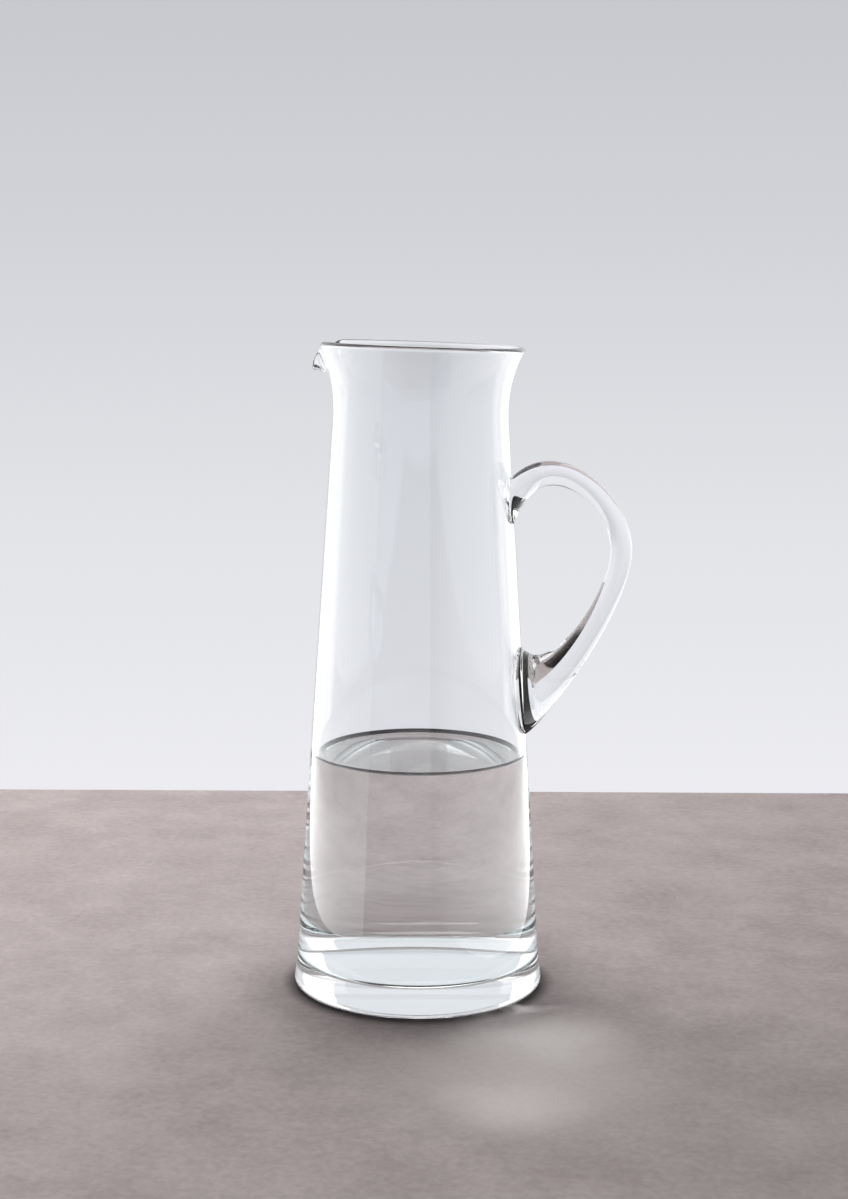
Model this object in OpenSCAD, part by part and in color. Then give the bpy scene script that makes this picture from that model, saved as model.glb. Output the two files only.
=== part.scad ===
// Clear glass water jug: a blown, tapered body with a heavy foot, a flared rim that is pulled into a
// drooping pouring lip, and a solid glass handle that is stuck on hot at two welds.
// Lengths are in millimetres and angles in degrees. The jug stands on z = 0 with its axis on Z,
// the handle towards +X and the pouring lip towards -X.

/* [Body] */
// Height of the rim above the table
jug_h = 282; // [260:1:330]
// Outside diameter that the straight taper reaches at the table
base_d = 109; // [96:1:124]
// Outside diameter at the neck, where the taper ends and the flare begins
neck_d = 76.4; // [64:0.2:88]
// Height of the flare, from the neck to the rim
flare_h = 34; // [24:0.5:44]
// How far the rim leans out from upright
flare_angle = 26; // [12:1:40]

/* [Glass] */
// Wall thickness at the neck, square to the axis
neck_wall = 2.6; // [1.8:0.1:4]
// Wall thickness at the table end of the taper, square to the axis
base_wall = 3.4; // [2:0.1:6]
// Height of the inside bottom at its edge
base_t = 11.4; // [8:0.2:22]
// How far the inside bottom rises from its edge to its middle
floor_rise = 7; // [0:0.5:10]
// How far the underside is pushed up in the middle
kick_h = 6; // [1:0.5:9]
// Diameter of the hollow in the underside
kick_d = 92; // [70:1:94]
// Inside round between the wall and the bottom
well_r = 4; // [2:0.5:12]
// Outside round of the foot
foot_r = 3; // [1:0.5:6]
// How far the foot spreads beyond the taper
foot_spread = 0.8; // [0:0.1:3]
// Height over which the foot spreads
foot_spread_h = 18; // [10:1:40]
// Diameter of the fire-polished bead along the rim
bead_d = 3; // [2:0.1:5]

/* [Pouring lip] */
// Width of the stretch of rim that is pulled into the lip
lip_w = 45; // [30:1:54]
// How much further than the rim the tip of the lip is bent out
lip_curl = 82; // [40:1:110]
// Length of wall that is bent out at the middle of the lip
lip_bend = 14.6; // [8:0.2:18]
// How much shorter than the rest of the flare the wall is at the middle of the lip
lip_sink = 5.4; // [0:0.2:9]
// Share of the flare that the throat of the lip goes without
lip_ease = 0.66; // [0:0.02:0.9]
// Thickness of the bead at the tip of the lip
lip_t = 2; // [1.6:0.1:3]

/* [Handle] */
// Height of the upper weld's top edge
top_weld_z = 225.5; // [205:0.5:236]
// Height of the upper weld, from its tail to its top edge
top_weld_h = 20; // [12:0.5:30]
// Width of the upper weld
top_weld_w = 18; // [13:0.5:24]
// Height of the lower weld's bottom edge
foot_weld_z = 113.5; // [90:0.5:130]
// Height of the lower weld
foot_weld_h = 38.5; // [20:0.5:46]
// Width of the lower weld
foot_weld_w = 26; // [14:0.5:30]
// Height of the outermost point of the bow
bow_z = 195; // [170:1:210]
// How far the bow's outside stands off the wall
bow_reach = 50; // [40:1:70]
// Thickness of the rod at the bow, seen from the side
grip_t = 9.3; // [7:0.1:14]
// Width of the rod at the bow, seen from its end
grip_w = 10.8; // [8:0.1:16]

/* [Hidden] */
$fn = 96;

// Clear glass, thin in the wall and deeper in the solid rod
body_glass = [0.86, 0.90, 0.91, 0.45];
handle_glass = [0.80, 0.86, 0.87, 0.60];

// Straight taper of the body, with a wall that thickens towards the foot
neck_z = jug_h - flare_h;
taper = (base_d - neck_d) / 2 / neck_z;
tilt = atan(taper);

function taper_r(z) = base_d / 2 - taper * z;
function wall_at(z) = base_wall + (neck_wall - base_wall) * z / neck_z;
function inner_r(z) = taper_r(z) - wall_at(z);
function outer_r(z) = taper_r(z) + foot_spread * pow(max(0, 1 - z / foot_spread_h), 2);
function heading(angle) = [cos(angle), sin(angle)];
function arc(centre, radius, from, to, steps) =
    [for (i = [0 : steps]) centre + radius * heading(from + (to - from) * i / steps)];

// Outside of the body below the neck, from the middle of the hollow underside outwards and upwards
kick_steps = 12;
kick_line = [for (i = [0 : kick_steps])
    let (share = i / kick_steps) [kick_d / 2 * share, kick_h * (1 - share * share)]];
foot_steps = 6;
spread_steps = 6;
foot_arc = arc([outer_r(foot_r) - foot_r, foot_r], foot_r, -90, 0, foot_steps);
spread_line = [for (i = [1 : spread_steps])
    let (z = foot_r + (foot_spread_h - foot_r) * i / spread_steps) [outer_r(z), z]];
outside = concat(kick_line, foot_arc, spread_line, [[neck_d / 2, neck_z]]);

// Inside of the body below the neck, from the neck down to the middle of the domed bottom
well_steps = 6;
floor_steps = 12;
well_z = base_t + well_r;
floor_r = inner_r(well_z) - well_r;
well_arc = arc([floor_r, well_z], well_r, 0, -90, well_steps);
floor_line = [for (i = [1 : floor_steps])
    let (share = 1 - i / floor_steps) [floor_r * share, base_t + floor_rise * (1 - share * share)]];
inside = concat([[inner_r(neck_z), neck_z]], well_arc, floor_line);

// Flare: the middle of the wall follows an arc, and its lean grows evenly from the taper to the rim.
// Lip: its throat leans out less, and the last stretch of the line is bent out by lip_curl at its middle.
bead_r = bead_d / 2;
flare_r = (flare_h - bead_r) / (sin(flare_angle) + sin(tilt));
flare_len = flare_r * (flare_angle + tilt) * PI / 180;
rim_r = neck_d / 2 + flare_r * (cos(tilt) - cos(flare_angle));
lip_half = asin(lip_w / 2 / rim_r);
lip_root = 1 - lip_bend / (flare_len - lip_sink);

// Shares of the line's length at which the flare is cut, closer together in the bend
rise_steps = 5;
bend_steps = 8;
bead_steps = 6;
stations = concat(
    [for (i = [0 : rise_steps]) lip_root * i / rise_steps],
    [for (i = [1 : bend_steps]) lip_root + (1 - lip_root) * i / bend_steps]);
last = len(stations) - 1;

// The collar of flare and lip starts as a tongue inside the wall, clear of the round faces below it
tongue_h = 3;
tongue_inset = 0.7;
seam_inset = 0.08;
neck_mid = [neck_d / 2 - neck_wall / 2, neck_z];

function pull(angle) = abs(angle) < lip_half ? pow(cos(90 * angle / lip_half), 2) : 0;
function lean(u, w) =
    (flare_angle + tilt) * u * (1 - lip_ease * w) - tilt
    + lip_curl * w * w * max(0, u - lip_root) / (1 - lip_root);
function along(lean_out) = [sin(lean_out), cos(lean_out)];
function across(lean_out) = [cos(lean_out), -sin(lean_out)];
function bead_at(w) = bead_d + (lip_t - bead_d) * w;
function half_wall(u, w) = (neck_wall + (bead_at(w) - neck_wall) * u * u) / 2;
function middle_step(i, w) =
    let (u = stations[i], v = stations[i + 1])
    (flare_len - lip_sink * w) * (v - u) * along(lean((u + v) / 2, w));
function middle_line(w) =
    [for (i = 0, p = neck_mid; i <= last; p = i < last ? p + middle_step(i, w) : p, i = i + 1) p];

// One closed section of the collar: up the outside from the tongue, round the bead and down the inside
function collar_section(w) =
    let (line = middle_line(w),
         root = neck_mid - tongue_h * along(-tilt),
         tongue = (neck_wall / 2 - tongue_inset) * across(-tilt),
         half = [for (i = [0 : last]) half_wall(stations[i], w) - (i == 0 ? seam_inset : 0)],
         side = [for (i = [0 : last]) half[i] * across(lean(stations[i], w))],
         bead = [for (i = [1 : bead_steps - 1])
             let (turn = 180 * i / bead_steps)
             line[last] + bead_at(w) / 2 * (cos(turn) * across(lean(1, w)) + sin(turn) * along(lean(1, w)))])
    concat([root + tongue],
           [for (i = [0 : last]) line[i] + side[i]],
           bead,
           [for (i = [last : -1 : 0]) line[i] - side[i]],
           [root - tongue]);

// Angles round the collar, counted from the middle of the lip and closer together across it
lip_steps = 22;
round_steps = 52;
collar_angles = concat(
    [for (i = [0 : lip_steps]) lip_half * (2 * i / lip_steps - 1)],
    [for (i = [1 : round_steps - 1]) lip_half + (360 - 2 * lip_half) * i / round_steps]);

// Triangles between neighbouring rings of points, and back to the first ring where the rings close
function skin(rings, sides, closed) =
    [for (i = [0 : closed ? rings - 1 : rings - 2], j = [0 : sides - 1], second = [false, true])
        let (a = i * sides + j,
             b = i * sides + (j + 1) % sides,
             c = (i + 1) % rings * sides + (j + 1) % sides,
             d = (i + 1) % rings * sides + j)
        second ? [a, c, d] : [a, b, c]];

module collar() {
    sections = [for (angle = collar_angles) collar_section(pull(angle))];
    points = [for (i = [0 : len(sections) - 1], p = sections[i])
        [-p[0] * cos(collar_angles[i]), -p[0] * sin(collar_angles[i]), p[1]]];
    polyhedron(points, skin(len(sections), len(sections[0]), true));
}

// Handle: rings that span from an inner edge line to an outer edge line in the XZ plane.
// Each edge line is two cubic curves that meet at the bow, and it runs on into the wall at both ends.
outer_lift = 46;
inner_lift = 71.5;
outer_arrival = 205;
inner_arrival = 128;
weld_depth = 3;
curve_steps = 18;
grip_sides = 24;

// How strongly each curve holds its direction at its two ends, as shares of the span that it bridges
outer_upper_hold = [0.48, 0.39];
inner_upper_hold = [0.85, 0.44];
outer_lower_hold = [0.285, 0.08];
inner_lower_hold = [0.34, 0.34];

// Shares of the handle's length over which each weld widens
top_weld_run = 0.25;
foot_weld_run = 0.35;

bow_outer = [outer_r(bow_z) + bow_reach, bow_z];
bow_inner = bow_outer - [grip_t, 0];

function wall_point(z) = [outer_r(z), z];
function cubic(p, t) =
    pow(1 - t, 3) * p[0] + 3 * pow(1 - t, 2) * t * p[1] + 3 * (1 - t) * t * t * p[2] + pow(t, 3) * p[3];
function upper_curve(start, bow, lift, hold) =
    let (span = norm(bow - start))
    [start, start + hold[0] * span * heading(lift), bow + [0, hold[1] * span], bow];
function lower_curve(bow, end, arrival, hold) =
    let (span = norm(bow - end))
    [bow, bow - [0, hold[0] * span], end - hold[1] * span * heading(arrival), end];
function edge_line(upper, lower, lift, arrival) =
    concat([upper[0] - weld_depth / cos(lift) * heading(lift)],
           [for (i = [0 : curve_steps]) cubic(upper, i / curve_steps)],
           [for (i = [1 : curve_steps]) cubic(lower, i / curve_steps)],
           [lower[3] - weld_depth / cos(arrival) * heading(arrival)]);

outer_edge = edge_line(
    upper_curve(wall_point(top_weld_z), bow_outer, outer_lift, outer_upper_hold),
    lower_curve(bow_outer, wall_point(foot_weld_z), outer_arrival, outer_lower_hold),
    outer_lift, outer_arrival);
inner_edge = edge_line(
    upper_curve(wall_point(top_weld_z - top_weld_h), bow_inner, inner_lift, inner_upper_hold),
    lower_curve(bow_inner, wall_point(foot_weld_z + foot_weld_h), inner_arrival, inner_lower_hold),
    inner_lift, inner_arrival);

function fade(x) = pow(max(0, 1 - x), 2);
function rod_w(q) =
    grip_w + (top_weld_w - grip_w) * fade(q / top_weld_run)
    + (foot_weld_w - grip_w) * fade((1 - q) / foot_weld_run);

module rod() {
    rings = len(outer_edge);
    points = [for (i = [0 : rings - 1], j = [0 : grip_sides - 1])
        let (middle = (outer_edge[i] + inner_edge[i]) / 2,
             half = (outer_edge[i] - inner_edge[i]) / 2,
             turn = 360 * j / grip_sides,
             p = middle + cos(turn) * half)
        [p[0], rod_w(i / (rings - 1)) / 2 * sin(turn), p[1]]];
    first_cap = [for (j = [grip_sides - 1 : -1 : 0]) j];
    last_cap = [for (j = [0 : grip_sides - 1]) (rings - 1) * grip_sides + j];
    polyhedron(points, concat([first_cap, last_cap], skin(rings, grip_sides, false)));
}

module glass_body() {
    color(body_glass) {
        rotate_extrude() polygon(concat(outside, inside));
        collar();
    }
}

// The handle's welds are cut to the outside of the wall, so glass meets glass face to face
module handle() {
    color(handle_glass) difference() {
        rod();
        rotate_extrude() polygon(concat(outside, [[0, neck_z]]));
    }
}

glass_body();
handle();
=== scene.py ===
# Looks of a clear glass water jug, part filled with water, on a taupe floor in front of a pale backdrop
import math

import bpy
import numpy as np
from mathutils import Euler, Matrix


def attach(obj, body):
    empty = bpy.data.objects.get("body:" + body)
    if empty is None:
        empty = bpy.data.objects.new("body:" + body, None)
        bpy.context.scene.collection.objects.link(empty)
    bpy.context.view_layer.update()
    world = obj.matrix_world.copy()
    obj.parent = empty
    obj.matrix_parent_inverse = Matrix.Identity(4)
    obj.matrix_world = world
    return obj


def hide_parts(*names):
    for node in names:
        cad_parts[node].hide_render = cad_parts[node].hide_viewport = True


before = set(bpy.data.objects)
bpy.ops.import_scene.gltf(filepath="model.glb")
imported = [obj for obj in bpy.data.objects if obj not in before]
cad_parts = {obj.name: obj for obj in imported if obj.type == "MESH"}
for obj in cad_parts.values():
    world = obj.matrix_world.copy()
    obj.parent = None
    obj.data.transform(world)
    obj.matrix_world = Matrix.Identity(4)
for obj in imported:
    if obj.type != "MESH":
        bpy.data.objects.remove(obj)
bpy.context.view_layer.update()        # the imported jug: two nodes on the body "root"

mm = 0.001
print("frame loaded, nodes", sorted(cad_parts))


# Small tools

def hexColour(text):
    # sRGB hex to linear: below 0.04045 a straight line, above it a 2.4 power
    channel = np.array([int(text[i:i + 2], 16) for i in (1, 3, 5)]) / 255
    linear = np.where(channel <= 0.04045, channel / 12.92, ((channel + 0.055) / 1.055) ** 2.4)
    return (*linear.tolist(), 1.0)


def addNode(owner, kind, settings=None, inputs=None, stops=None):
    # settings are the node's own properties, an input takes a constant or another node's output, and stops
    # are a ramp's places and colours
    made = owner.node_tree.nodes.new(kind)
    for name, value in (settings or {}).items():
        setattr(made, name, value)
    for name, value in (inputs or {}).items():
        if isinstance(value, bpy.types.NodeSocket):
            owner.node_tree.links.new(value, made.inputs[name])
        else:
            made.inputs[name].default_value = value
    if stops:
        elements = made.color_ramp.elements
        elements[0].position, elements[0].color = stops[0][0], hexColour(stops[0][1])
        elements[1].position, elements[1].color = stops[-1][0], hexColour(stops[-1][1])
        for place, colour in stops[1:-1]:
            elements.new(place).color = hexColour(colour)
    return made


def addValues(owner, values, rows):
    # Adds named values, row by row: a name, an operation and its sides, which are numbers or names of values.
    # An ease has its source, begin, end, low and high as sides
    for name, operation, *sides in rows:
        inputs = dict(enumerate(values.get(side, side) for side in sides))
        if operation == "EASE":
            made = addNode(owner, "ShaderNodeMapRange", {"interpolation_type": "SMOOTHSTEP"}, inputs)
        else:
            made = addNode(owner, "ShaderNodeMath", {"operation": operation}, inputs)
        values[name] = made.outputs[0]


def newMaterial(name):
    material = bpy.data.materials.new(name)
    material.use_nodes = True
    material.node_tree.nodes.clear()
    return material


def newPiece(name, points, quads, triangles, materials, slots, flat=None):
    # points (n, 3) are in metres; quads then triangles share one list of loops
    # slots holds one material index a face, and flat marks the faces that aren't smooth
    mesh = bpy.data.meshes.new(name)
    loops = np.concatenate([quads.ravel(), triangles.ravel()]).astype(np.int32)
    starts = np.concatenate([4 * np.arange(len(quads)), 4 * len(quads) + 3 * np.arange(len(triangles))])
    smooth = np.ones(len(starts), bool) if flat is None else ~flat
    mesh.vertices.add(len(points))
    mesh.vertices.foreach_set("co", np.ascontiguousarray(points, np.float32).ravel())
    mesh.loops.add(len(loops))
    mesh.loops.foreach_set("vertex_index", loops)
    mesh.polygons.add(len(starts))
    mesh.polygons.foreach_set("loop_start", starts.astype(np.int32))
    mesh.polygons.foreach_set("material_index", slots.astype(np.int32))
    mesh.polygons.foreach_set("use_smooth", smooth)
    for material in materials:
        mesh.materials.append(material)
    mesh.update()
    mesh.validate()
    piece = bpy.data.objects.new(name, mesh)
    bpy.context.scene.collection.objects.link(piece)
    return piece


def gridFaces(rows, columns):
    # quads between neighbouring rows of a grid that closes round its columns
    row, column = np.meshgrid(np.arange(rows - 1), np.arange(columns), indexing="ij")
    a = row * columns + column
    b = row * columns + (column + 1) % columns
    return np.stack([a, b, b + columns, a + columns], -1).reshape(-1, 4)


def fanFaces(pole, ring, outward):
    # triangles from one pole to a closed ring of points
    following = np.roll(ring, -1)
    fan = np.stack([np.full(len(ring), pole), ring, following], -1)
    return fan if outward else fan[:, ::-1]


def arcPoints(centre, radius, start, end, steps):
    # points on an arc: centre plus radius times the heading, which turns evenly from start to end
    turn = np.radians(np.linspace(start, end, steps + 1))
    return centre[0] + radius * np.cos(turn), centre[1] + radius * np.sin(turn)


# Clear soda-lime glass, mouth-blown and fire-polished: colourless in the wall, cool in the thick bottom
def clearGlass(name, ior, tint, passing=1.0):
    material = newMaterial(name)
    shader = addNode(material, "ShaderNodeBsdfPrincipled", inputs={
        "Base Color": hexColour(tint),
        "Roughness": 0.0,
        "IOR": ior,
        "Transmission Weight": passing})
    addNode(material, "ShaderNodeOutputMaterial", inputs={"Surface": shader.outputs["BSDF"]})
    return material


# A skin with nothing to see: the water's own side against the wetted glass, and both glasses at a weld
def unseenContact(name):
    material = newMaterial(name)
    shader = addNode(material, "ShaderNodeBsdfTransparent")
    addNode(material, "ShaderNodeOutputMaterial", inputs={"Surface": shader.outputs["BSDF"]})
    return material


glassIor = 1.51
waterIor = 1.333
fireGlass = clearGlass("fire_polished_soda_glass", glassIor, "#fafbfc")
# Water wets the inside, so the step in index there is small and hardly reflects
wetGlass = clearGlass("wetted_soda_glass", glassIor / waterIor, "#fbfefe")
# Still water: a mirror-flat top, and a curved edge whose dark line is partly the curve sending light astray
# and partly painted shade: dark glass that passes a fifth of the light
waterTop = clearGlass("still_water_surface", waterIor, "#fefefe")
waterEdgePaintedDark = clearGlass("water_edge_painted_dark", waterIor, "#141617", 0.2)
waterContact = unseenContact("water_against_glass")
weldContact = unseenContact("glass_fused_to_glass")

# Glass body, in millimetres and degrees
body = dict(height=282, baseDia=109, neckDia=76.4, flareHeight=34, rimLean=26, neckWall=2.6, baseWall=3.4,
            bottom=11.4, floorRise=7, kick=6, kickDia=92, wellRound=4, footRound=3, footSpread=0.8,
            footSpreadHeight=18, bead=3, lipWidth=45, lipCurl=82, lipBend=14.6, lipSink=5.4, lipEase=0.66,
            lipBead=2, rimSlope=0.03, weldMargin=1, columns=360, kickRows=25, footSteps=10, spreadRows=10,
            taperRows=(6, 36, 5, 20, 4), throatRows=14, curlRows=25, beadRows=15, dryRows=16, wetRows=10,
            wellSteps=12, domeRows=22)
# Water, in millimetres: level in the middle, climb at the wall and how fast it dies away, width of the curved
# edge, gap to the glass, and how far below the top of the edge the sides begin. Its rings crowd towards the
# wall by a power
water = dict(level=102.1, climb=2.8, capillary=2.4, edge=2.0, inset=0.04, sideDrop=0.2,
             rings=60, crowding=2.2, sideRows=12)

neckZ = body["height"] - body["flareHeight"]
taper = (body["baseDia"] - body["neckDia"]) / 2 / neckZ
tilt = math.degrees(math.atan(taper))
contactZ = water["level"] + water["climb"]
wellZ = body["bottom"] + body["wellRound"]


def taperRadius(z):
    return body["baseDia"] / 2 - taper * z


def outerRadius(z):
    spread = np.clip(1 - z / body["footSpreadHeight"], 0, None) ** 2
    return taperRadius(z) + body["footSpread"] * spread


def innerRadius(z):
    return taperRadius(z) - (body["baseWall"] + (body["neckWall"] - body["baseWall"]) * z / neckZ)


def wellLine():
    # inside round and domed bottom, from the wall to just short of the middle: the dome is a parabola
    centre = innerRadius(wellZ) - body["wellRound"], wellZ
    r, z = arcPoints(centre, body["wellRound"], 0, -90, body["wellSteps"])
    domeR = r[-1] * np.linspace(1, 0, body["domeRows"])[1:-1]
    domeZ = body["bottom"] + body["floorRise"] * (1 - (domeR / r[-1]) ** 2)
    return np.concatenate([r, domeR]), np.concatenate([z, domeZ])


# The handle comes first, because the body leaves its surface open to the fused glass under the two welds
# Handle, in millimetres and degrees: the edge lines are cubic curves between the wall and the bow
handle = dict(topWeldZ=225.5, topWeldHeight=20, topWeldWidth=18, footWeldZ=113.5, footWeldHeight=38.5,
              footWeldWidth=26, bowZ=195, bowReach=50, gripThick=9.3, gripWidth=10.8,
              outerLift=46, innerLift=71.5, outerArrival=205, innerArrival=128, weldDepth=3,
              outerUpperHold=(0.48, 0.39), innerUpperHold=(0.85, 0.44), outerLowerHold=(0.285, 0.08),
              innerLowerHold=(0.34, 0.34), topWeldRun=0.25, footWeldRun=0.35, steps=72, sides=96,
              halvings=30)


def cubicCurve(points, t):
    # cubic from the first of four points to the last, drawn towards the two between
    p = np.array(points, float)
    t = t[:, None]
    return (1 - t) ** 3 * p[0] + 3 * (1 - t) ** 2 * t * p[1] + 3 * (1 - t) * t ** 2 * p[2] + t ** 3 * p[3]


def edgeLine(startZ, bow, endZ, lift, arrival, upperHold, lowerHold):
    # starts inside the wall, leaves it at startZ along lift, stands upright at the bow and ends inside the
    # wall again
    def heading(angle):
        return np.array([math.cos(math.radians(angle)), math.sin(math.radians(angle))])
    start = np.array([float(taperRadius(startZ)), startZ])
    end = np.array([float(taperRadius(endZ)), endZ])
    upperSpan, lowerSpan = np.linalg.norm(bow - start), np.linalg.norm(bow - end)
    upper = [start, start + upperHold[0] * upperSpan * heading(lift),
             bow + [0, upperHold[1] * upperSpan], bow]
    lower = [bow, bow - [0, lowerHold[0] * lowerSpan],
             end - lowerHold[1] * lowerSpan * heading(arrival), end]
    t = np.linspace(0, 1, handle["steps"] + 1)
    depth = handle["weldDepth"]
    return np.vstack([start - depth / math.cos(math.radians(lift)) * heading(lift), cubicCurve(upper, t)[1:],
                      cubicCurve(lower, t)[1:-1],
                      end - depth / math.cos(math.radians(arrival)) * heading(arrival)])


def cutAtWall(outside, inside):
    # points where the lines from outside to inside pass through the cone of the wall, found by halving
    low, high = np.zeros((len(outside), 1)), np.ones((len(outside), 1))
    for _ in range(handle["halvings"]):
        middle = (low + high) / 2
        p = outside + middle * (inside - outside)
        clear = (np.hypot(p[:, 0], p[:, 1]) > taperRadius(p[:, 2]))[:, None]
        low, high = np.where(clear, middle, low), np.where(clear, high, middle)
    return outside + low * (inside - outside)


def handleRings():
    # rings span from the inner edge line to the outer one; their width grows towards both welds
    bowOuter = np.array([float(taperRadius(handle["bowZ"])) + handle["bowReach"], handle["bowZ"]])
    bowInner = bowOuter - [handle["gripThick"], 0]
    outer = edgeLine(handle["topWeldZ"], bowOuter, handle["footWeldZ"],
                     handle["outerLift"], handle["outerArrival"],
                     handle["outerUpperHold"], handle["outerLowerHold"])
    inner = edgeLine(handle["topWeldZ"] - handle["topWeldHeight"], bowInner,
                     handle["footWeldZ"] + handle["footWeldHeight"],
                     handle["innerLift"], handle["innerArrival"],
                     handle["innerUpperHold"], handle["innerLowerHold"])
    q = np.linspace(0, 1, len(outer))
    grip = handle["gripWidth"]
    width = (grip + (handle["topWeldWidth"] - grip) * np.clip(1 - q / handle["topWeldRun"], 0, None) ** 2
             + (handle["footWeldWidth"] - grip) * np.clip(1 - (1 - q) / handle["footWeldRun"], 0, None) ** 2)
    turn = np.radians(np.linspace(0, 360, handle["sides"], endpoint=False))
    middle, half = (outer + inner) / 2, (outer - inner) / 2
    flat = middle[:, None, :] + np.cos(turn)[None, :, None] * half[:, None, :]
    across = width[:, None] / 2 * np.sin(turn)[None, :]
    rings = np.stack([flat[..., 0], across, flat[..., 1]], -1)
    rings[0] = cutAtWall(rings[1], rings[0])
    rings[-1] = cutAtWall(rings[-2], rings[-1])
    return rings


rodRings = handleRings()


def buildHandle():
    rings, sides = rodRings.shape[:2]
    poles = rodRings[[0, -1]].mean(1)
    points = np.vstack([rodRings.reshape(-1, 3), poles])
    quads = gridFaces(rings, sides)[:, ::-1]
    caps = np.concatenate([
        fanFaces(rings * sides, np.arange(sides), True),
        fanFaces(rings * sides + 1, (rings - 1) * sides + np.arange(sides), False)])
    isCap = np.concatenate([np.zeros(len(quads), bool), np.ones(len(caps), bool)])
    piece = newPiece("handleRod", points * mm, quads, caps, [fireGlass, weldContact], isCap, isCap)
    print("handle", len(quads) * 2 + len(caps), "triangles")
    return piece


handleRod = buildHandle()
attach(handleRod, "root")
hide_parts("handle")


def insideWeld(ring, side, height):
    # true where a place on the wall, as sideways and upright distance, lies within a weld's outline
    centre = ring.mean(0)
    turn = np.arctan2(ring[:, 2] - centre[2], ring[:, 1])
    reach = np.hypot(ring[:, 2] - centre[2], ring[:, 1])
    order = np.argsort(turn)
    place = np.arctan2(height - centre[2], side)
    return np.hypot(height - centre[2], side) < np.interp(place, turn[order], reach[order], period=2 * np.pi)


def collarSurface(angle):
    # Rows of the flare, the bead and the lip at every angle from the middle of the lip. The middle of the
    # wall is a line whose lean grows evenly from the taper to the rim; at the lip its throat leans out less
    # and its last stretch is bent out. Its points are the running sum of short steps along that lean, and the
    # skins lie half a wall to either side.
    beadRadius = body["bead"] / 2
    turn = math.radians(body["rimLean"] + tilt)
    bendRadius = (body["flareHeight"] - beadRadius) / (
        math.sin(math.radians(body["rimLean"])) + math.sin(math.radians(tilt)))
    length = bendRadius * turn
    rimRadius = body["neckDia"] / 2 + bendRadius * (
        math.cos(math.radians(tilt)) - math.cos(math.radians(body["rimLean"])))
    lipHalf = math.degrees(math.asin(body["lipWidth"] / 2 / rimRadius))
    lipRoot = 1 - body["lipBend"] / (length - body["lipSink"])
    pull = np.where(np.abs(angle) < lipHalf, np.cos(np.radians(90 * angle / lipHalf)) ** 2, 0)[None, :]
    station = np.concatenate([np.linspace(0, lipRoot, body["throatRows"]),
                              np.linspace(lipRoot, 1, body["curlRows"])[1:]])[:, None]

    def lean(u):
        curl = np.clip(u - lipRoot, 0, None) / (1 - lipRoot)
        flare = (body["rimLean"] + tilt) * u * (1 - body["lipEase"] * pull)
        return np.radians(flare - tilt + body["lipCurl"] * pull ** 2 * curl)

    step = np.diff(station, axis=0) * (length - body["lipSink"] * pull)
    middle = lean((station[1:] + station[:-1]) / 2)
    start = np.zeros((1, angle.size))
    neckMiddle = body["neckDia"] / 2 - body["neckWall"] / 2
    radius = neckMiddle + np.vstack([start, np.cumsum(step * np.sin(middle), 0)])
    height = neckZ + np.vstack([start, np.cumsum(step * np.cos(middle), 0)])
    bead = body["bead"] + (body["lipBead"] - body["bead"]) * pull
    half = (body["neckWall"] + (bead - body["neckWall"]) * station ** 2) / 2
    across = np.cos(lean(station)), -np.sin(lean(station))
    tip = lean(np.ones((1, 1)))
    roll = np.radians(np.linspace(0, 180, body["beadRows"])[1:-1])[:, None]
    beadR = radius[-1:] + bead / 2 * (np.cos(roll) * np.cos(tip) + np.sin(roll) * np.sin(tip))
    beadZ = height[-1:] + bead / 2 * (-np.cos(roll) * np.sin(tip) + np.sin(roll) * np.cos(tip))
    outer = radius + half * across[0], height + half * across[1]
    inner = radius - half * across[0], height - half * across[1]
    allR = np.vstack([outer[0], beadR, inner[0][::-1]])
    allZ = np.vstack([outer[1], beadZ, inner[1][::-1]])
    # the hand-made rim is a little higher at the lip than at the handle
    share = np.clip((allZ - neckZ) / body["flareHeight"], 0, 1) ** 2
    return allR, allZ + body["rimSlope"] * share * allR * np.cos(np.radians(angle))[None, :]


def weldRows():
    # heights of the outside rows: close together across both welds, wide apart on the plain taper between
    lowWeld, highWeld, margin = rodRings[-1][:, 2], rodRings[0][:, 2], body["weldMargin"]
    limits = [body["footSpreadHeight"], lowWeld.min() - margin, lowWeld.max() + margin,
              highWeld.min() - margin, highWeld.max() + margin, neckZ]
    spans = [np.linspace(low, high, count)[1:]
             for low, high, count in zip(limits, limits[1:], body["taperRows"])]
    return np.concatenate(spans)[:-1]


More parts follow.
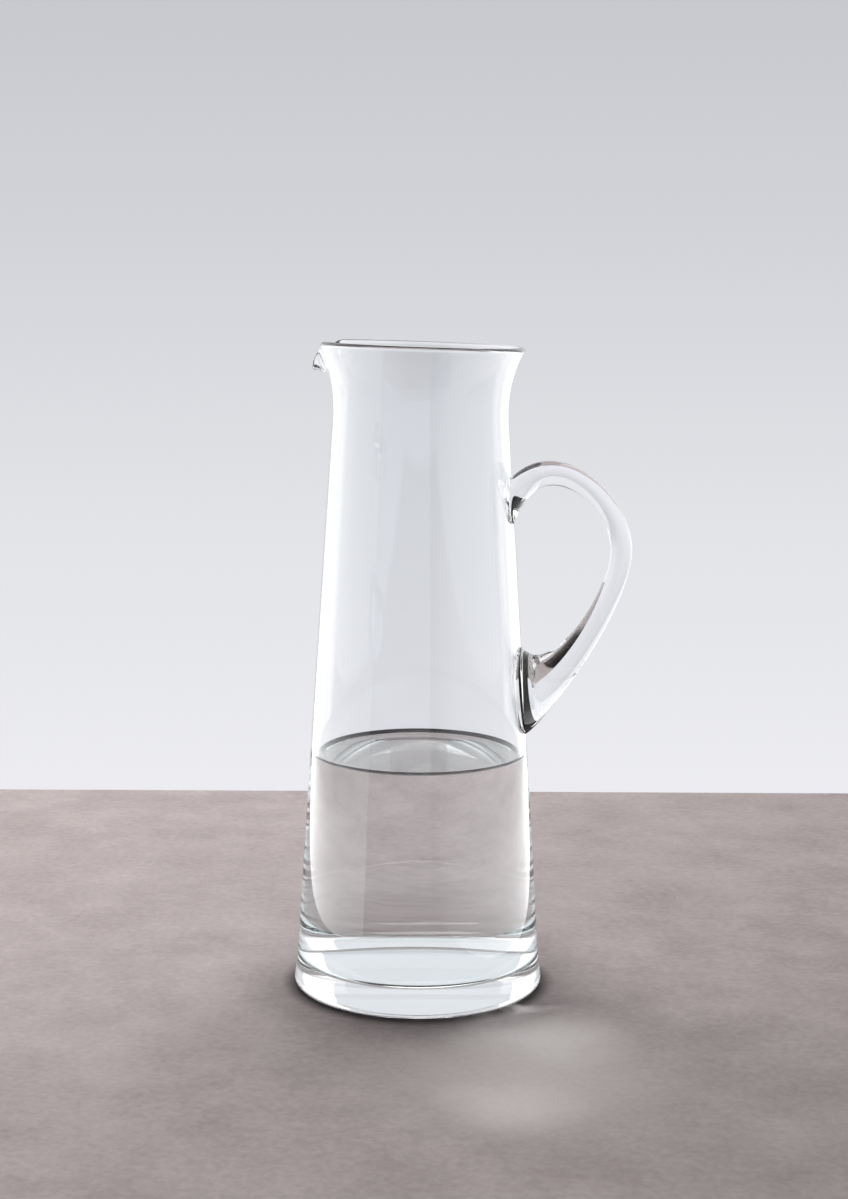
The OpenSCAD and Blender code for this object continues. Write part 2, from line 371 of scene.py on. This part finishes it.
def buildBody():
    angle = np.linspace(-180, 180, body["columns"], endpoint=False)
    foot, kickRadius = body["footRound"], body["kickDia"] / 2
    footRow = arcPoints((outerRadius(foot) - foot, foot), foot, -90, 0, body["footSteps"])
    # hollow underside: a parabola from the middle down to the ring that the jug stands on
    kickR = np.append(kickRadius * np.linspace(0, 1, body["kickRows"])[1:], (kickRadius + footRow[0][0]) / 2)
    kickZ = body["kick"] * np.clip(1 - (kickR / kickRadius) ** 2, 0, None)
    spreadZ = np.linspace(foot, body["footSpreadHeight"], body["spreadRows"])[1:]
    taperZ = weldRows()
    outsideR = np.concatenate([kickR, footRow[0], outerRadius(spreadZ), taperRadius(taperZ)])
    outsideZ = np.concatenate([kickZ, footRow[1], spreadZ, taperZ])
    dryZ = np.linspace(neckZ, contactZ, body["dryRows"])[1:]
    wetZ = np.linspace(contactZ, wellZ, body["wetRows"])[1:-1]
    wellR, wellHeight = wellLine()
    insideR = np.concatenate([innerRadius(dryZ), innerRadius(wetZ), wellR])
    insideZ = np.concatenate([dryZ, wetZ, wellHeight])
    collarR, collarZ = collarSurface(angle)
    spreadOut = np.ones((1, angle.size))
    radius = np.vstack([outsideR[:, None] * spreadOut, collarR, insideR[:, None] * spreadOut])
    height = np.vstack([outsideZ[:, None] * spreadOut, collarZ, insideZ[:, None] * spreadOut])
    turn = np.radians(angle)[None, :]
    points = np.stack([-radius * np.cos(turn), -radius * np.sin(turn), height], -1).reshape(-1, 3)
    rows, columns = radius.shape
    poles = np.array([[0, 0, body["kick"]], [0, 0, body["bottom"] + body["floorRise"]]])
    quads = gridFaces(rows, columns)
    triangles = np.concatenate([
        fanFaces(rows * columns, np.arange(columns), False),
        fanFaces(rows * columns + 1, (rows - 1) * columns + np.arange(columns), True)])
    # slot 0 dry glass, 1 wetted glass, 2 the patches under the welds
    wetFrom = len(outsideR) + len(collarR) + len(dryZ) - 1
    slots = np.repeat(np.where(np.arange(rows - 1) >= wetFrom, 1, 0), columns)
    centre = points[quads].mean(1)
    onOutside = np.repeat(np.arange(rows - 1) < len(outsideR), columns) & (centre[:, 0] > 0)
    fused = (insideWeld(rodRings[0], centre[:, 1], centre[:, 2])
             | insideWeld(rodRings[-1], centre[:, 1], centre[:, 2]))
    slots = np.where(onOutside & fused, 2, slots)
    slots = np.concatenate([slots, np.repeat([0, 1], columns)])
    piece = newPiece("glassBody", np.vstack([points, poles]) * mm, quads, triangles,
                     [fireGlass, wetGlass, weldContact], slots)
    print("glass body", len(quads) * 2 + len(triangles), "triangles")
    return piece


glassBody = buildBody()
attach(glassBody, "root")
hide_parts("glass_body")


# Water: its top is level and climbs the glass as an exponential of the distance from the wall
def buildWater():
    columns = body["columns"]
    turn = np.radians(np.linspace(-180, 180, columns, endpoint=False))[None, :]
    edge = innerRadius(contactZ)
    fromWall = edge * np.linspace(1, 0, water["rings"] + 1)[1:-1] ** water["crowding"]
    topR = np.append(edge - fromWall, edge + water["inset"])
    topZ = water["level"] + water["climb"] * np.exp(-(edge - np.minimum(topR, edge)) / water["capillary"])
    sideZ = np.linspace(contactZ - water["sideDrop"], wellZ, water["sideRows"])
    wellR, wellHeight = wellLine()
    sideR = np.concatenate([innerRadius(sideZ), wellR[1:]]) - water["inset"]
    sideHeight = np.concatenate([sideZ, wellHeight[1:]]) + water["inset"]
    radius = np.concatenate([topR, sideR])[:, None] * np.ones((1, columns))
    height = np.concatenate([topZ, sideHeight])[:, None] * np.ones((1, columns))
    points = np.stack([radius * np.cos(turn), radius * np.sin(turn), height], -1).reshape(-1, 3)
    rows = len(radius)
    poles = np.array([[0, 0, water["level"]], [0, 0, body["bottom"] + body["floorRise"] + water["inset"]]])
    quads = gridFaces(rows, columns)[:, ::-1]
    triangles = np.concatenate([
        fanFaces(rows * columns, np.arange(columns), True),
        fanFaces(rows * columns + 1, (rows - 1) * columns + np.arange(columns), False)])
    # slot 0 the level top, 1 the sides, 2 the curved edge, painted dark
    row = np.arange(rows - 1)
    slots = np.where(row >= len(topR) - 1, 1, np.where(radius[:-1, 0] > edge - water["edge"], 2, 0))
    slots = np.concatenate([np.repeat(slots, columns), np.repeat([0, 1], columns)])
    piece = newPiece("water", np.vstack([points, poles]) * mm, quads, triangles,
                     [waterTop, waterContact, waterEdgePaintedDark], slots)
    print("water", len(quads) * 2 + len(triangles), "triangles")
    return piece


waterPiece = buildWater()
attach(waterPiece, "root")

# Camera: the photograph is 848 by 1199 pixels, and its long side is the sensor's 36 mm
view = dict(azimuth=8.0, distance=912, height=305.5, pitch=8.36, focalPixels=2117, axisPixel=419.5,
            roll=0.3)
photo = dict(width=848, height=1199, sensor=36)
around = math.radians(view["azimuth"])


def buildCamera():
    lens = bpy.data.cameras.new("camera")
    lens.sensor_width = photo["sensor"]
    lens.lens = photo["sensor"] * view["focalPixels"] / photo["height"]
    lens.clip_start, lens.clip_end = 0.01, 50
    camera = bpy.data.objects.new("camera", lens)
    bpy.context.scene.collection.objects.link(camera)
    camera.location = (view["distance"] * mm * math.sin(around), -view["distance"] * mm * math.cos(around),
                       view["height"] * mm)
    aside = math.atan((photo["width"] / 2 - view["axisPixel"]) / view["focalPixels"])
    aim = Euler((math.radians(90 - view["pitch"]), 0, around - aside)).to_matrix()
    lean = Matrix.Rotation(math.radians(view["roll"]), 3, "Z")
    camera.rotation_euler = (aim @ lean).to_euler()
    bpy.context.scene.camera = camera


buildCamera()

# Stage, in millimetres, in a frame turned with the camera: x to the camera's right, y away from it
stage = dict(floorFar=358, floorNear=-1000, floorSide=420, floorDrop=0.3, backdropAway=3000,
             backdropSide=4200, backdropLow=-2600, backdropHigh=3400)


def stageDirection(x, y):
    return x * math.cos(around) - y * math.sin(around), x * math.sin(around) + y * math.cos(around), 0


def stageSheet(name, corners, material):
    # four corners, the first two on the sheet's near end; the attribute along runs from 0 there to 1 at the
    # far end
    c = np.array(corners, float)
    points = np.stack([c[:, 0] * math.cos(around) - c[:, 1] * math.sin(around),
                       c[:, 0] * math.sin(around) + c[:, 1] * math.cos(around), c[:, 2]], -1)
    sheet = newPiece(name, points * mm, np.array([[0, 1, 2, 3]]), np.zeros((0, 3), int),
                     [material], np.zeros(1))
    along = sheet.data.attributes.new("along", "FLOAT", "POINT")
    along.data.foreach_set("value", [0.0, 0.0, 1.0, 1.0])
    return sheet


# Floor of taupe board, cloudy and finely brushed, with a painted pool of light from the far left: clouds of
# about 40 mm under a grain of about 4 mm. Places and distances are in metres
floorLook = dict(
    cloud={"Scale": 1 / (41.667 * mm), "Detail": 6.0, "Roughness": 0.65},
    grain={"Scale": 1 / (3.846 * mm), "Detail": 4.0, "Roughness": 0.7},
    grainShare=0.42,
    mottle=[(0.32, "#a49998"), (0.68, "#c4b9b8")],
    behind=[(0.15, "#453c3b"), (0.26, "#191413")],
    under="#aaa4a3",
    paintedCaustics="#cfcac9",
    headings=dict(aside=(1, 0), away=(0, 1), poolward=(-0.75, 0.66)),
    # painted light, glowing spots that stand in for light the jug gathers beside its shadow: place, reach and
    # strength of each spot
    spots=[(0.047, -0.115, 0.080, 0.38), (0.037, -0.148, 0.038, 0.40),
           (0.054, -0.072, 0.048, 0.50), (0.047, -0.038, 0.014, 0.70)],
    values=[
        # painted pool of light, with a painted contact shadow: a dark line and a halo where the jug stands
        ("pool", "EASE", "poolward", -0.5, 0.5, 0.62, 1.38),
        ("contactShadowLine", "EASE", "fromAxis", 0.0535, 0.062, 0.32, 1.0),
        ("contactShadowHalo", "EASE", "fromAxis", 0.055, 0.095, 0.78, 1.0),
        ("contact", "MULTIPLY", "contactShadowLine", "contactShadowHalo"),
        ("pooled", "MULTIPLY", "pool", "contact"),
        # painted shade: the glass finds the floor a little darker close to the jug
        ("unseen", "SUBTRACT", 1.0, "camera"),
        ("nearShade", "EASE", "fromAxis", 0.06, 0.2, 0.16, 0.0),
        ("near", "MULTIPLY", "unseen", "nearShade"),
        ("kept", "SUBTRACT", 1.0, "near"),
        ("light", "MULTIPLY", "pooled", "kept"),
        # and painted shade behind it, dark: steeply in what it mirrors, and through the handle's two skins in
        # a strip
        ("anyMirror", "GREATER_THAN", "mirrors", 0.5),
        ("steep", "EASE", "facing", 0.5, 0.6, 1.0, 0.0),
        ("inMirror", "MULTIPLY", "anyMirror", "steep"),
        ("stripLeft", "EASE", "aside", 0.055, 0.07, 0.0, 1.0),
        ("stripRight", "EASE", "aside", 0.19, 0.24, 1.0, 0.0),
        ("strip", "MULTIPLY", "stripLeft", "stripRight"),
        ("twoSkins", "LESS_THAN", "skins", 2.5),
        ("slanted", "EASE", "facing", 0.62, 0.72, 1.0, 0.0),
        ("throughRod", "MULTIPLY", "twoSkins", "slanted"),
        ("inRod", "MULTIPLY", "strip", "throughRod"),
        ("shown", "MAXIMUM", "inMirror", "inRod"),
        ("far", "EASE", "away", 0.11, 0.15, 0.0, 1.0),
        ("farUnseen", "MULTIPLY", "far", "unseen"),
        ("paintedShadeShare", "MULTIPLY", "farUnseen", "shown"),
        # painted light under the jug, an emission that stands in for light come down through it, seen from
        # inside the glass alone
        ("underShare", "EASE", "fromAxis", 0.046, 0.054, 1.0, 0.0),
        ("paintedGlowShare", "MULTIPLY", "unseen", "underShare"),
        # unevenness of the spots' edges
        ("offMiddle", "SUBTRACT", "cloud", 0.5),
        ("uneven", "MULTIPLY", "offMiddle", 0.05)])


def paintedLightAndShadeBoard():
    material = newMaterial("taupe_board_painted_light_and_shade")
    place = addNode(material, "ShaderNodeTexCoord").outputs["Object"]
    ray = addNode(material, "ShaderNodeLightPath").outputs
    cloud, grain = [
        addNode(material, "ShaderNodeTexNoise", inputs={"Vector": place, **floorLook[name]}).outputs["Fac"]
        for name in ("cloud", "grain")]
    values = dict(
        plain=1.0, cloud=cloud, camera=ray["Is Camera Ray"], mirrors=ray["Glossy Depth"],
        skins=ray["Transmission Depth"],
        facing=addNode(material, "ShaderNodeLayerWeight", inputs={"Blend": 0.5}).outputs["Facing"],
        fromAxis=addNode(material, "ShaderNodeVectorMath", {"operation": "DISTANCE"},
                         {0: place, 1: stageDirection(0, 0)}).outputs["Value"])
    for name, heading in floorLook["headings"].items():
        values[name] = addNode(material, "ShaderNodeVectorMath", {"operation": "DOT_PRODUCT"},
                               {0: place, 1: stageDirection(*heading)}).outputs["Value"]
    addValues(material, values, floorLook["values"])
    for x, y, reach, strength in floorLook["spots"]:
        values["toSpot"] = addNode(material, "ShaderNodeVectorMath", {"operation": "DISTANCE"},
                                   {0: place, 1: stageDirection(x, y)}).outputs["Value"]
        addValues(material, values, [
            ("toEdge", "ADD", "toSpot", "uneven"),
            ("outside", "EASE", "toEdge", 0.0, reach, 1 - strength, 1.0),
            ("plain", "MULTIPLY", "plain", "outside")])
    mottle = addNode(material, "ShaderNodeMix",
                     inputs={0: floorLook["grainShare"], 2: cloud, 3: grain}).outputs[0]
    pale = addNode(material, "ShaderNodeValToRGB", inputs={"Fac": mottle},
                   stops=floorLook["mottle"]).outputs["Color"]
    pale = addNode(material, "ShaderNodeVectorMath", {"operation": "SCALE"},
                   {0: pale, "Scale": values["light"]}).outputs["Vector"]
    # painted shade: the dark tones behind the jug, for the glass alone
    dark = addNode(material, "ShaderNodeValToRGB", inputs={"Fac": values["away"]},
                   stops=floorLook["behind"]).outputs["Color"]
    tone = addNode(material, "ShaderNodeMix", {"data_type": "RGBA"},
                   {0: values["paintedShadeShare"], 6: pale, 7: dark}).outputs[2]
    shader = addNode(material, "ShaderNodeBsdfDiffuse", inputs={"Color": tone}).outputs["BSDF"]
    glow, paintedCaustics = [
        addNode(material, "ShaderNodeEmission",
                inputs={"Color": hexColour(floorLook[name]), "Strength": 1.0}).outputs["Emission"]
        for name in ("under", "paintedCaustics")]
    # painted light: the glow under the jug, for the glass alone
    shader = addNode(material, "ShaderNodeMixShader",
                     inputs={0: values["paintedGlowShare"], 1: shader, 2: glow}).outputs["Shader"]
    # painted light: the glowing spots beside the jug's shadow
    shader = addNode(material, "ShaderNodeMixShader",
                     inputs={0: values["plain"], 1: paintedCaustics, 2: shader}).outputs["Shader"]
    addNode(material, "ShaderNodeOutputMaterial", inputs={"Surface": shader})
    return material


# Backdrop: pale grey, with painted shade a little darker above the jug. The glass finds it white up there,
# and dark below in what it mirrors, a painted shade. Heights are shares of the stretch from reach below the
# floor to reach above it
backdropLook = dict(
    reach=1.6,
    toEye=[(0.304, "#ececf1"), (0.4675, "#e2e3e7"), (0.62, "#d3d4d9"), (0.755, "#c8c9ce")],
    toGlass=[(0.304, "#ececf1"), (0.4675, "#e2e3e7"), (0.62, "#d3d4d9"), (0.66, "#eff0f3")],
    lowPaintedShade="#2a2625",
    values=[
        ("lowEnd", "EASE", "height", 0.05, 0.16, 1.0, 0.0),
        ("anyMirror", "GREATER_THAN", "mirrors", 0.5),
        ("low", "MULTIPLY", "lowEnd", "anyMirror")])


def litBackdrop():
    material = newMaterial("lit_grey_backdrop")
    place = addNode(material, "ShaderNodeTexCoord").outputs["Object"]
    ray = addNode(material, "ShaderNodeLightPath").outputs
    split = addNode(material, "ShaderNodeSeparateXYZ", inputs={"Vector": place})
    height = addNode(material, "ShaderNodeMapRange", inputs={
        "Value": split.outputs["Z"],
        "From Min": -backdropLook["reach"],
        "From Max": backdropLook["reach"]}).outputs["Result"]
    values = dict(height=height, mirrors=ray["Glossy Depth"])
    addValues(material, values, backdropLook["values"])
    toEye, toGlass = [
        addNode(material, "ShaderNodeValToRGB", inputs={"Fac": height},
                stops=backdropLook[name]).outputs["Color"]
        for name in ("toEye", "toGlass")]
    # painted shade: the dark low end in what the glass mirrors
    toGlass = addNode(material, "ShaderNodeMix", {"data_type": "RGBA"},
                      {0: values["low"], 6: toGlass, 7: hexColour(backdropLook["lowPaintedShade"])}).outputs[2]
    tone = addNode(material, "ShaderNodeMix", {"data_type": "RGBA"},
                   {0: ray["Is Camera Ray"], 6: toGlass, 7: toEye}).outputs[2]
    shader = addNode(material, "ShaderNodeEmission", inputs={"Color": tone, "Strength": 1.0})
    addNode(material, "ShaderNodeOutputMaterial", inputs={"Surface": shader.outputs["Emission"]})
    return material


# Soft panel: lit cloth, dim at its near end, not there from behind. The outer skin of the glass shows its
# foot brighter, the inside shows it all dimmer. It shows to rays that were mirrored and refracted often
# enough, and its near part shows in the near wall alone
def softPanel(name, panel):
    material = newMaterial(name)
    place = addNode(material, "ShaderNodeTexCoord").outputs["Object"]
    ray = addNode(material, "ShaderNodeLightPath").outputs
    values = dict(
        along=addNode(material, "ShaderNodeAttribute", {"attribute_name": "along"}).outputs["Fac"],
        height=addNode(material, "ShaderNodeSeparateXYZ", inputs={"Vector": place}).outputs["Z"],
        backward=addNode(material, "ShaderNodeNewGeometry").outputs["Backfacing"],
        mirrors=ray["Glossy Depth"], skins=ray["Transmission Depth"])
    addValues(material, values, [
        ("foot", "EASE", "height", 0.04, 0.08, panel["foot"], 1.0),
        ("within", "GREATER_THAN", "skins", 0.5),
        ("bright", "EASE", "along", 0.0, panel["until"], panel["dim"], panel["bright"]),
        ("manySkins", "GREATER_THAN", "skins", 3.5),
        ("nearPart", "LESS_THAN", "along", panel["nearPart"]),
        ("farWall", "MULTIPLY", "manySkins", "nearPart"),
        ("unmirrored", "LESS_THAN", "mirrors", panel["mirrors"] - 0.5),
        ("unrefracted", "LESS_THAN", "skins", panel["skins"] - 0.5),
        ("turnedOff", "MAXIMUM", "backward", "farWall"),
        ("tooDirect", "MAXIMUM", "unmirrored", "unrefracted"),
        ("hidden", "MAXIMUM", "turnedOff", "tooDirect")])
    values["share"] = addNode(material, "ShaderNodeMix",
                              inputs={0: values["within"], 2: values["foot"], 3: panel["inside"]}).outputs[0]
    addValues(material, values, [("level", "MULTIPLY", "share", "bright")])
    lit = addNode(material, "ShaderNodeEmission", inputs={"Strength": values["level"]}).outputs["Emission"]
    gone = addNode(material, "ShaderNodeBsdfTransparent").outputs["BSDF"]
    shader = addNode(material, "ShaderNodeMixShader", inputs={0: values["hidden"], 1: lit, 2: gone})
    addNode(material, "ShaderNodeOutputMaterial", inputs={"Surface": shader.outputs["Shader"]})
    return material


# Panels out of the camera's sight: two flank the jug, one hangs behind its left shoulder. The levels are what
# a mirror would show
panels = dict(
    left=dict(corners=[(-161, -149, 800), (-161, -149, 2), (-300, 600, 2), (-300, 600, 800)],
              dim=1.0, bright=2.0, until=0.33, foot=2.0, inside=0.75, mirrors=1, skins=0, nearPart=0.5),
    right=dict(corners=[(85, -400, 2), (85, -400, 800), (230, 600, 800), (230, 600, 2)],
               dim=0.0, bright=1.8, until=0.55, foot=2.0, inside=0.75, mirrors=1, skins=0, nearPart=0.62),
    top=dict(corners=[(150, -100, 980), (-650, -100, 980), (-650, 600, 980), (150, 430, 980)],
             dim=2.6, bright=2.6, until=1.0, foot=1.0, inside=1.0, mirrors=0, skins=1, nearPart=0),
)
# Soft sun from behind on the left: it lights the floor alone, because glass has nothing to scatter it with
sun = dict(strength=3.0, spread=60, heading=-10, height=60)


def buildStage():
    side, drop = stage["floorSide"], -stage["floorDrop"]
    stageSheet("floor", [(-side, stage["floorNear"], drop), (side, stage["floorNear"], drop),
                         (side, stage["floorFar"], drop), (-side, stage["floorFar"], drop)], paintedLightAndShadeBoard())
    wide, away = stage["backdropSide"], stage["backdropAway"]
    stageSheet("backdrop", [(-wide, away, stage["backdropLow"]), (wide, away, stage["backdropLow"]),
                            (wide, away, stage["backdropHigh"]), (-wide, away, stage["backdropHigh"])],
               litBackdrop())
    for name, panel in panels.items():
        sheet = stageSheet(name + "Panel", panel["corners"], softPanel("lit_cloth_" + name, panel))
        sheet.visible_camera = False
        sheet.visible_diffuse = False
        sheet.visible_shadow = False
    light = bpy.data.lights.new("softSun", "SUN")
    light.energy = sun["strength"]
    light.angle = math.radians(sun["spread"])
    lamp = bpy.data.objects.new("softSun", light)
    bpy.context.scene.collection.objects.link(lamp)
    lamp.rotation_euler = (math.radians(sun["height"] - 90), 0, around - math.radians(sun["heading"]))
    lamp.visible_glossy = False
    lamp.visible_transmission = False
    lamp.visible_camera = False


buildStage()


# Room: pale for the eye. The glass finds it pale at the horizon and on both flanks, dark overhead, with a
# bright pane high over the camera's left shoulder, and reflects it dimly
roomLook = dict(
    toEye=[(0.0, "#e8e8ec"), (0.3, "#c9cacf")],
    toGlass=[(0.0, "#eeeff2"), (0.5, "#acadb1"), (0.75, "#3c3938")],
    flankTone="#f6f7fa",
    paneSide=(-0.097125, -0.36225),
    paneUp=0.927,
    paneLevel=5,
    values=[
        ("flankward", "ABSOLUTE", "aside"),
        ("flank", "EASE", "flankward", 0.35, 0.75, 0.0, 1.0),
        ("paneShare", "EASE", "paneward", 0.966, 0.982, 0.0, 1.0),
        ("shown", "MAXIMUM", "camera", "refracted"),
        ("level", "EASE", "shown", 0.0, 1.0, 0.2, 1.0)])


def buildRoom():
    world = bpy.data.worlds.new("dim_room")
    world.use_nodes = True
    world.node_tree.nodes.clear()
    place = addNode(world, "ShaderNodeTexCoord").outputs["Generated"]
    ray = addNode(world, "ShaderNodeLightPath").outputs
    up = addNode(world, "ShaderNodeSeparateXYZ", inputs={"Vector": place}).outputs["Z"]
    values = dict(camera=ray["Is Camera Ray"], refracted=ray["Is Transmission Ray"])
    headings = dict(aside=stageDirection(1, 0),
                    paneward=(*stageDirection(*roomLook["paneSide"])[:2], roomLook["paneUp"]))
    for name, heading in headings.items():
        values[name] = addNode(world, "ShaderNodeVectorMath", {"operation": "DOT_PRODUCT"},
                               {0: place, 1: heading}).outputs["Value"]
    addValues(world, values, roomLook["values"])
    toEye, toGlass = [
        addNode(world, "ShaderNodeValToRGB", inputs={"Fac": up}, stops=roomLook[name]).outputs["Color"]
        for name in ("toEye", "toGlass")]
    toGlass = addNode(world, "ShaderNodeMix", {"data_type": "RGBA"},
                      {0: values["flank"], 6: toGlass, 7: hexColour(roomLook["flankTone"])}).outputs[2]
    paneTone = (*[roomLook["paneLevel"]] * 3, 1.0)
    toGlass = addNode(world, "ShaderNodeMix", {"data_type": "RGBA"},
                      {0: values["paneShare"], 6: toGlass, 7: paneTone}).outputs[2]
    tone = addNode(world, "ShaderNodeMix", {"data_type": "RGBA"},
                   {0: values["camera"], 6: toGlass, 7: toEye}).outputs[2]
    lit = addNode(world, "ShaderNodeBackground", inputs={"Color": tone, "Strength": values["level"]})
    addNode(world, "ShaderNodeOutputWorld", inputs={"Surface": lit.outputs["Background"]})
    bpy.context.scene.world = world


buildRoom()

bpy.context.scene.view_settings.view_transform = "Standard"
cycles = bpy.context.scene.cycles
cycles.max_bounces = 40
cycles.transmission_bounces = 32
cycles.glossy_bounces = 16
cycles.transparent_max_bounces = 32
cycles.use_denoising = True
print("stage, panels and camera set")
